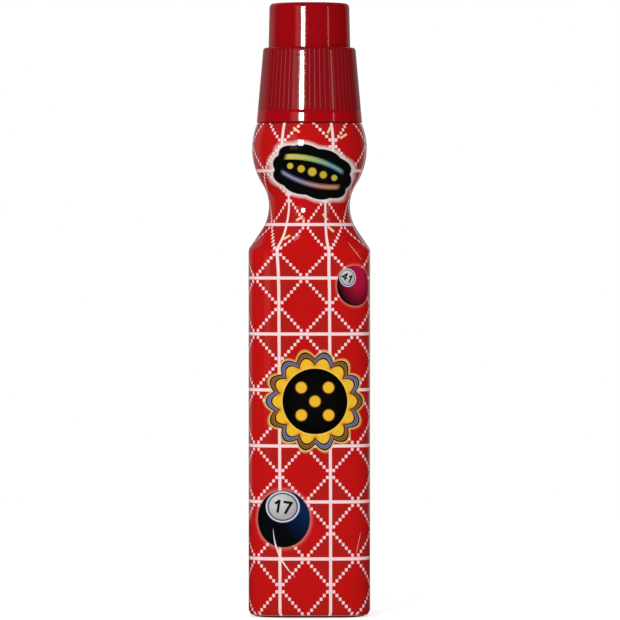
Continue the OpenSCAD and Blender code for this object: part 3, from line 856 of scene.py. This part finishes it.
class DAUBER_OT_sleeve(bpy.types.Operator):
    """Shrink the printed film on the bottle"""

    bl_idname = "dauber.sleeve"
    bl_label = "Printed sleeve"

    def execute(self, context):
        form, look = context.scene.dauber_bottle, context.scene.dauber_sleeve
        grow = look.gap + look.film
        side = film_rows(form, look)
        count = len(side) - 1
        rings = [outline(*grown(section(form, half, z), grow), look.around) for half, z in side]
        deselect()
        around = look.around
        bpy.ops.mesh.primitive_grid_add(x_subdivisions=around, y_subdivisions=count, size=1, calc_uvs=True)
        sleeve = bpy.context.object
        sleeve.name = "printed_sleeve"
        spots = [(point.co.x + 0.5, point.co.y + 0.5) for point in sleeve.data.vertices]
        cells = [(round(x * around), round(y * count)) for x, y in spots]
        shares = sleeve.data.uv_layers["UVMap"].data
        for loop in sleeve.data.loops:
            i, j = cells[loop.vertex_index]
            z = side[j][1] / MM
            across = 0.5 + (i / around - 0.5 + blend(z, TURNS)) * blend(z, DRAWS)
            shares[loop.index].uv = (across, blend(z, PANES) / look.rows)
        for point, (i, j) in zip(sleeve.data.vertices, cells):
            (x, y), z = rings[j][i], side[j][1]
            ripple = noise.noise(Vector((x * 210, y * 210, z * 75))) * look.waviness
            ripple += noise.noise(Vector((x * 60, y * 60 + 9, z * 40))) * look.waviness
            keep = 1 + ripple / math.hypot(x, y)
            point.co = (x * keep, y * keep, z)
        edit(sleeve)
        close_up(0.002)
        modify(sleeve, "SOLIDIFY", thickness=look.film * 0.6, offset=-1.0)
        finish_piece(sleeve, "bottle_body", film_print(look), 50, ["shrink_sleeve"])
        return {"FINISHED"}


def film_rows(form, look):
    """Half widths and heights of the film's rows, close on the shoulder and where the front turns flat."""
    fine = walk(bottle_side(form), 2400)
    turn = next(z for half, z in fine if z > 80 * MM and half < form.depth / 2)
    rows = [fine[0]]
    for half, z in fine[1:]:
        pitch = 0.25 * MM if 88.5 * MM < z < 100 * MM else look.pitch
        if abs(z - turn) < 0.3 * MM:
            pitch = 0.05 * MM
        if math.dist((half, z), rows[-1]) >= pitch:
            rows.append((half, z))
    rows[-1] = fine[-1]
    return rows


def grown(shape, by):
    """An outline's half width, half depth and power, moved outward."""
    half, deep, power = shape
    return half + by, deep + by, power


class DAUBER_OT_cap(bpy.types.Operator):
    """Turn the cap, cut its grooves, wind its thread and finish the liner"""

    bl_idname = "dauber.cap"
    bl_label = "Cap and liner"

    def execute(self, context):
        look = context.scene.dauber_cap
        rim, top = (corner.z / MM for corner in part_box("cap"))
        sizes = (look.band, look.skirt, look.crown, look.crown_top, look.bore, look.crown_bore)
        band, skirt, crown, crown_top, bore, inner = (size / MM / 2 for size in sizes)
        band_top, step = look.band_top / MM, look.step / MM
        slope = (band - skirt) / (step - 0.7 - rim)
        taper = (crown - crown_top) / (top - step)
        # heights up the skirt, with how far a thin line round the band's top sinks
        line = [(band_top - 0.25, 0.0), (band_top - 0.1, 0.09), (band_top + 0.05, 0.0)]
        heights = [(122.75, 0.0), (124.6, 0.0), *line]
        heights += [(z, 0.0) for z in (126.0, 128.0, 131.0, 134.0, 137.0, 139.0, 139.9)]
        outside = (
            [(11.6, rim + 0.25), (11.85, rim)]
            + arc(band - 0.28 - slope * 0.28, rim + 0.28, 0.28, -90, 5, 4)
            + [(band - slope * (z - rim) - sink, z) for z, sink in heights]
            + arc(skirt - 0.7, step - 0.7, 0.7, 5, 90, 6)
            + [(crown + 0.3, step)]
            + [(crown - taper * z, step + z) for z in (0.0, 0.15, 0.6, 3.0, 6.0, 9.0, 9.8)]
            + arc(crown_top - 1.0, top - 1.0, 1.0, 2, 90, 8)
            + [(6.0, top), (3.0, top), (0.0, top)]
        )
        inside = (
            [(0.0, 150.7), (4.0, 150.7)]
            + arc(inner - 0.5, 150.2, 0.5, 90, 0, 4)
            + [(inner, 145.0), (inner, 139.9), (inner + 0.3, 139.6), (bore - 0.3, 139.6), (bore, 139.3)]
            + [(bore, 134.0), (bore, 128.8), (11.6, rim + 0.25)]
        )
        cap = draw("cap_shell", [(x * MM, z * MM) for x, z in outside + inside])
        spin(look.ribs * RIB_COLUMNS)
        # thin grooves run up the skirt from the plain band out through its rounded top
        for point in cap.data.vertices:
            x, y, z = point.co / MM
            far = math.hypot(x, y)
            if far < 0.1:
                continue
            turn = math.atan2(y, x) / (2 * math.pi) * look.ribs
            nearest = math.floor(turn + 0.5)
            column = (turn - nearest) * RIB_COLUMNS
            place = nearest + math.copysign(blend(abs(column), RIB_SPREAD), column)
            on_skirt = band_top < z < step + 0.01 and far > band - slope * (z - rim) - 0.9
            if on_skirt and far > crown + 0.35:
                far -= look.groove / MM * blend(abs(column), RIB_DEPTHS)
            bend = place / look.ribs * 2 * math.pi
            point.co.x, point.co.y = far * MM * math.cos(bend), far * MM * math.sin(bend)
        red = gloss_red(look)
        finish_piece(cap, "screw_cap", red, 32, ["cap"])
        thread = wind_thread("cap_thread", look.bore / 2, -look.thread_height, CAP_THREAD * MM, look, 180.0)
        finish_piece(thread, "screw_cap", red, 40)
        coat_node("cap_liner", foamed_liner())
        return {"FINISHED"}


class DAUBER_OT_applicator(bpy.types.Operator):
    """Finish the applicator and its valve, and wind the valve's spring"""

    bl_idname = "dauber.applicator"
    bl_label = "Applicator and valve"

    def execute(self, context):
        look = context.scene.dauber_tip
        pale = natural_plastic("applicator_natural", NATURAL, 137.6, 143.2)
        coat_node("applicator_housing", pale)
        coat_node("spring_retainer", pale)
        acetal = natural_plastic("valve_acetal", ACETAL, 136.4, 141.0)
        coat_node("valve_poppet", acetal)
        coat_node("valve_seal", seal_rubber())
        low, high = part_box("valve_spring")
        pitch = (high.z - low.z - look.wire) / look.curls
        deselect()
        bpy.ops.mesh.primitive_circle_add(
            vertices=10, radius=look.wire / 2, location=(look.coil / 2, 0, low.z + look.wire / 2),
            rotation=(math.pi / 2 + math.atan(pitch / (math.pi * look.coil)), 0, 0),
        )
        spring = bpy.context.object
        spring.name = "valve_coil"
        bpy.ops.object.transform_apply(location=True, rotation=True, scale=True)
        wind(spring, look.curls, pitch, 28)
        edit(spring)
        bpy.ops.mesh.fill_holes(sides=0)
        close_up(0.001)
        finish_piece(spring, "bottle_body", drawn_wire(), 50, ["valve_spring"])
        press = next(joint for joint in frame["joints"] if joint["name"] == "tip_press")
        travel = max(abs(end) for end in press["range_m"])
        foot = SPRING_FOOT * MM
        tall = high.z - foot
        (tall - travel) / tall
        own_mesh(spring)
        return {"FINISHED"}


class DAUBER_OT_tip(bpy.types.Operator):
    """Shape the foam pad and the knitted cover, and finish the carrier and its ring"""

    bl_idname = "dauber.tip"
    bl_label = "Foam tip"

    def execute(self, context):
        look = context.scene.dauber_tip
        low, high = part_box("tip_cover")
        pad_low, pad_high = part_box("sponge_tip")
        pad = draw("foam_pad", [(0.0, pad_low.z)] + tip_line(pad_low.z, pad_high.x, pad_high.z, look))
        spin(72)
        for point in pad.data.vertices:
            push = noise.noise(point.co * 900) * 0.04 * MM
            keep = 1 - abs(push) / max(math.hypot(point.co.x, point.co.y), 2 * MM)
            point.co.x, point.co.y = point.co.x * keep, point.co.y * keep
        finish_piece(pad, "dabbing_tip", inked_foam(look), 60, ["sponge_tip"])

        line = tip_line(low.z, high.x, high.z, look)
        cover = draw("knit_cover", line)
        spin(144)
        run = walk(line, 400)
        lengths = [0.0]
        for a, b in zip(run, run[1:]):
            lengths.append(lengths[-1] + math.dist(a, b))
        cover.data.uv_layers.new(name="UVMap")
        shares = cover.data.uv_layers["UVMap"].data
        stitches = round(2 * math.pi * high.x / look.knit)
        for face in cover.data.polygons:
            middle = math.atan2(face.center.y, face.center.x)
            for index in face.loop_indices:
                at = cover.data.vertices[cover.data.loops[index].vertex_index].co
                bend = math.atan2(at.y, at.x) if math.hypot(at.x, at.y) > 0.01 * MM else middle
                if bend - middle > math.pi:
                    bend -= 2 * math.pi
                if middle - bend > math.pi:
                    bend += 2 * math.pi
                spot = (math.hypot(at.x, at.y), at.z)
                near = min(range(len(run)), key=lambda k: math.dist(run[k], spot))
                shares[index].uv = ((bend / (2 * math.pi) + 0.5) * stitches, lengths[near] / look.knit)
        # small gathers where the ring pinches the hem, by height above the hem's edge
        gathering = ((0.0, 0.0), (1.45, 0.0), (1.9, 1.0), (3.4, 0.25), (5.0, 0.0), (20.0, 0.0))
        for point in cover.data.vertices:
            x, y, z = point.co
            far = math.hypot(x, y)
            gather = blend((z - low.z) / MM, gathering)
            wave = (math.cos(math.atan2(y, x) * look.gathers) - 1) / 2
            if far > MM:
                keep = 1 + wave * gather * 0.16 * MM / far
                point.co.x, point.co.y = x * keep, y * keep
        modify(cover, "SOLIDIFY", thickness=0.22 * MM, offset=-1.0)
        finish_piece(cover, "dabbing_tip", inked_knit(look), 60, ["tip_cover"])

        coat_node("tip_carrier", natural_plastic("carrier_acetal", ACETAL, 141.2, 141.6))
        coat_node("cover_ring", natural_plastic("ring_natural", NATURAL, 140.0, 142.9))
        return {"FINISHED"}


def tip_line(low, half, top, look):
    """Side and dome of the tip, from its hem to its crown."""
    side = DOME_FOOT * MM
    power = 2 / look.dome_power
    line = [(half - PINCH[0][0] * MM, low)] + [(half - pinch * MM, z * MM) for pinch, z in PINCH]
    for i in range(24):
        t = math.radians(90 * i / 24)
        line.append((half * math.cos(t) ** power, side + (top - side) * math.sin(t) ** power))
    return [*line, (0.0, top)]


class DAUBER_OT_ink(bpy.types.Operator):
    """Finish the ink"""

    bl_idname = "dauber.ink"
    bl_label = "Ink"

    def execute(self, context):
        coat_node("ink_fill", wet_ink(context.scene.dauber_tip))
        return {"FINISHED"}


class DAUBER_OT_stage(bpy.types.Operator):
    """Set up the floor, the lamps, the surroundings and the camera"""

    bl_idname = "dauber.stage"
    bl_label = "Stage"

    def execute(self, context):
        look = context.scene.dauber_stage
        deselect()
        low = (0, 0, -0.05 * MM)
        bpy.ops.mesh.primitive_circle_add(vertices=96, radius=look.floor, fill_type="NGON", location=low)
        floor = bpy.context.object
        floor.name = "floor"
        bpy.ops.object.transform_apply(location=True)
        floor.data.materials.append(pale_floor())
        lamp("key_lamp", (-17.5, 1.0, 0.29), (0.17, 0.16), look.key)
        lamp("strip_lamp", (55, 1.0, 0.26), (0.04, 0.26), look.strip)
        context.scene.world = surroundings(look.fill)
        data = bpy.data.cameras.new("camera")
        data.lens = look.lens
        data.sensor_width = 36
        camera = bpy.data.objects.new("camera", data)
        context.scene.collection.objects.link(camera)
        camera.location = (look.side, -look.distance, look.height)
        aim = Vector((look.side, 0, look.aim)) - camera.location
        camera.rotation_euler = aim.to_track_quat("-Z", "Y").to_euler()
        context.scene.camera = camera
        context.scene.view_settings.view_transform = "Standard"
        return {"FINISHED"}


def lamp(name, place, size, power):
    """Aim a rectangular lamp at the cap, from an angle, a distance and a height."""
    angle, far, high = place
    data = bpy.data.lights.new(name, "AREA")
    data.shape = "RECTANGLE"
    data.size, data.size_y = size
    data.energy = power
    made = bpy.data.objects.new(name, data)
    bpy.context.scene.collection.objects.link(made)
    turn = math.radians(angle)
    made.location = (far * math.sin(turn), -far * math.cos(turn), high)
    made.rotation_euler = (Vector((0, 0, 0.12)) - made.location).to_track_quat("-Z", "Y").to_euler()


def pale_floor():
    """White floor that keeps a faint shadow."""
    material = bpy.data.materials.new("floor_white")
    material.use_nodes = True
    material.node_tree.nodes.clear()
    net = Net(material.node_tree)
    grain = net.speckle(60.0, 2.0)
    pale = net.paint(grain * 0.1, (0.80, 0.80, 0.80), (0.76, 0.76, 0.76))
    white = net.node("ShaderNodeBsdfDiffuse", {}, {"Color": pale})
    glow = net.node("ShaderNodeEmission", {}, {"Color": (1.0, 1.0, 1.0, 1.0), "Strength": 0.62})
    both = net.node("ShaderNodeAddShader", {}, {0: white, 1: glow})
    dark = net.node("ShaderNodeBsdfDiffuse", {}, {"Color": (0.03, 0.03, 0.03, 1.0)})
    lit = net.node("ShaderNodeMixShader", {}, {0: net.ray("Camera"), 1: white, 2: both})
    mixed = net.node("ShaderNodeMixShader", {}, {0: net.ray("Glossy"), 1: lit, 2: dark})
    end = material.node_tree.nodes.new("ShaderNodeOutputMaterial")
    material.node_tree.links.new(mixed.socket, end.inputs["Surface"])
    return material


def surroundings(fill):
    """White behind the bottle, dark in front of it, and an even fill for the colours."""
    world = bpy.data.worlds.new("studio")
    world.use_nodes = True
    net = Net(world.node_tree)
    across, ahead, up = net.split(net.node("ShaderNodeTexCoord", {}, {}, "Generated"))
    mirrored = net.larger(net.ray("Glossy"), net.ray("Transmission"))
    rear = net.over(ahead - net.over(across, 0.0, 0.3) * 0.26, 0.44, 0.24) * 0.26 + 0.012
    screen = net.over(across, -0.64, 0.06) * net.under(across, -0.41, 0.03) * net.under(ahead, 0.0, 0.1)
    screen = screen * net.over(up, -0.02, 0.06) * net.under(up, 0.40, 0.1) * 0.7
    other = mirrored * (rear + screen) + (1 - mirrored) * fill
    back = world.node_tree.nodes["Background"]
    back.inputs["Color"].default_value = (1.0, 1.0, 1.0, 1.0)
    world.node_tree.links.new(net.larger(net.ray("Camera"), other).socket, back.inputs["Strength"])
    return world


class DAUBER_PT_sidebar(bpy.types.Panel):
    """Shows a button for each step that builds the dauber"""

    bl_idname = "DAUBER_PT_sidebar"
    bl_label = "Bingo Dauber"
    bl_space_type = "VIEW_3D"
    bl_region_type = "UI"
    bl_category = "Dauber"

    def draw(self, context):
        for step in STEPS:
            self.layout.operator(step.bl_idname)


SETTINGS = {
    "dauber_bottle": BottleSettings,
    "dauber_sleeve": SleeveSettings,
    "dauber_cap": CapSettings,
    "dauber_tip": TipSettings,
    "dauber_stage": StageSettings,
}
STEPS = (
    DAUBER_OT_bottle,
    DAUBER_OT_sleeve,
    DAUBER_OT_ink,
    DAUBER_OT_applicator,
    DAUBER_OT_tip,
    DAUBER_OT_cap,
    DAUBER_OT_stage,
)


def register():
    for name, group in SETTINGS.items():
        bpy.utils.register_class(group)
        setattr(bpy.types.Scene, name, PointerProperty(type=group))
    for step in (*STEPS, DAUBER_PT_sidebar):
        bpy.utils.register_class(step)


def unregister():
    for step in reversed((*STEPS, DAUBER_PT_sidebar)):
        bpy.utils.unregister_class(step)
    for name, group in SETTINGS.items():
        delattr(bpy.types.Scene, name)
        bpy.utils.unregister_class(group)


def main():
    register()
    bpy.ops.dauber.bottle()
    bpy.ops.dauber.sleeve()
    bpy.ops.dauber.ink()
    bpy.ops.dauber.applicator()
    bpy.ops.dauber.tip()
    bpy.ops.dauber.cap()
    bpy.ops.dauber.stage()
    deselect()


if __name__ == "__main__":
    main()
